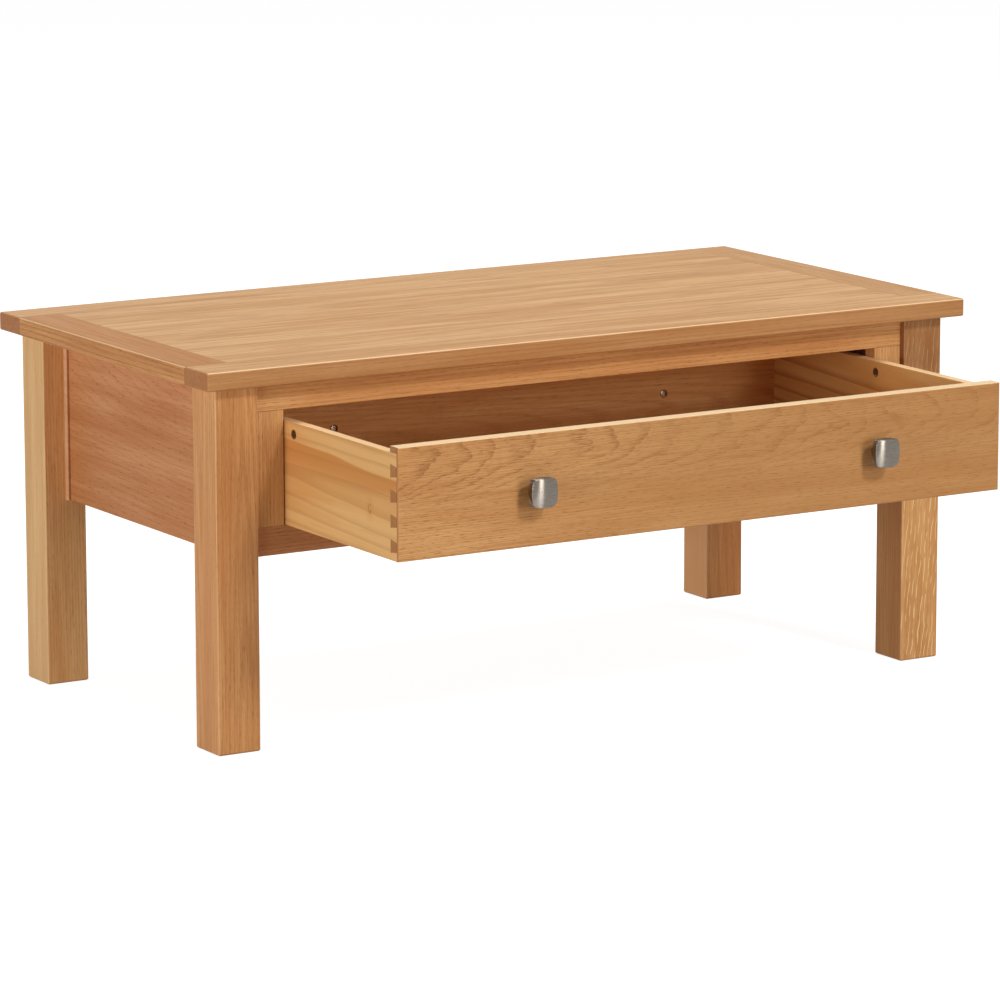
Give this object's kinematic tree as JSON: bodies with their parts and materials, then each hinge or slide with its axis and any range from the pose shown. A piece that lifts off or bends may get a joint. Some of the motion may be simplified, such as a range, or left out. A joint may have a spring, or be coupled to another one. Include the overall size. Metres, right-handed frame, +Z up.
{
  "type": "coffee table with drawer",
  "caption": "Low oak coffee table: framed flush top, square legs, recessed end panels, and a wide dovetailed drawer with metal pillow knobs that slides out at the front or the back.",
  "frame": {"origin": "on the floor, under the middle of the top, half way between the four legs", "axes": "+X to the right along the front, +Y from front to back, +Z up; stored with the drawer open at -Y"},
  "size_m": [1.05, 0.786, 0.45],
  "materials": {
    "oak": "honey-toned oak, satin lacquer",
    "pine": "pale knotty pine, clear sealed",
    "plywood": "thin plywood, clear sealed",
    "nickel": "satin nickel plate",
    "steel": "zinc-plated steel"
  },
  "bodies": {
    "case": {"leg_front_left": "oak", "leg_front_right": "oak", "leg_back_left": "oak", "leg_back_right": "oak", "end_panel_left": "oak", "end_panel_right": "oak", "front_upper_rail": "oak", "front_lower_rail": "oak", "front_stile_left": "oak", "front_stile_right": "oak", "back_upper_rail": "oak", "back_lower_rail": "oak", "back_stile_left": "oak", "back_stile_right": "oak", "drawer_runner_left": "pine", "drawer_runner_right": "pine", "drawer_guide_left": "pine", "drawer_guide_right": "pine", "drawer_kicker_left": "pine", "drawer_kicker_right": "pine", "top_border_front": "oak", "top_border_back": "oak", "top_border_left": "oak", "top_border_right": "oak", "top_board_1": "oak", "top_board_2": "oak", "top_board_3": "oak", "top_board_4": "oak", "kicker_screws": "steel", "rail_screws": "steel"},
    "drawer": {"drawer_front": "oak", "drawer_back": "oak", "drawer_side_left": "pine", "drawer_side_right": "pine", "drawer_bottom": "plywood", "knob_front_left": "nickel", "knob_front_right": "nickel", "knob_back_left": "nickel", "knob_back_right": "nickel", "knob_bolt_front_left": "steel", "knob_bolt_front_right": "steel", "knob_bolt_back_left": "steel", "knob_bolt_back_right": "steel"}
  },
  "joints": [
    {"name": "drawer_slide", "type": "slide", "parent": "case", "child": "drawer", "axis": [0, -1, 0], "range_m": [-0.558, 0.042]}
  ]
}
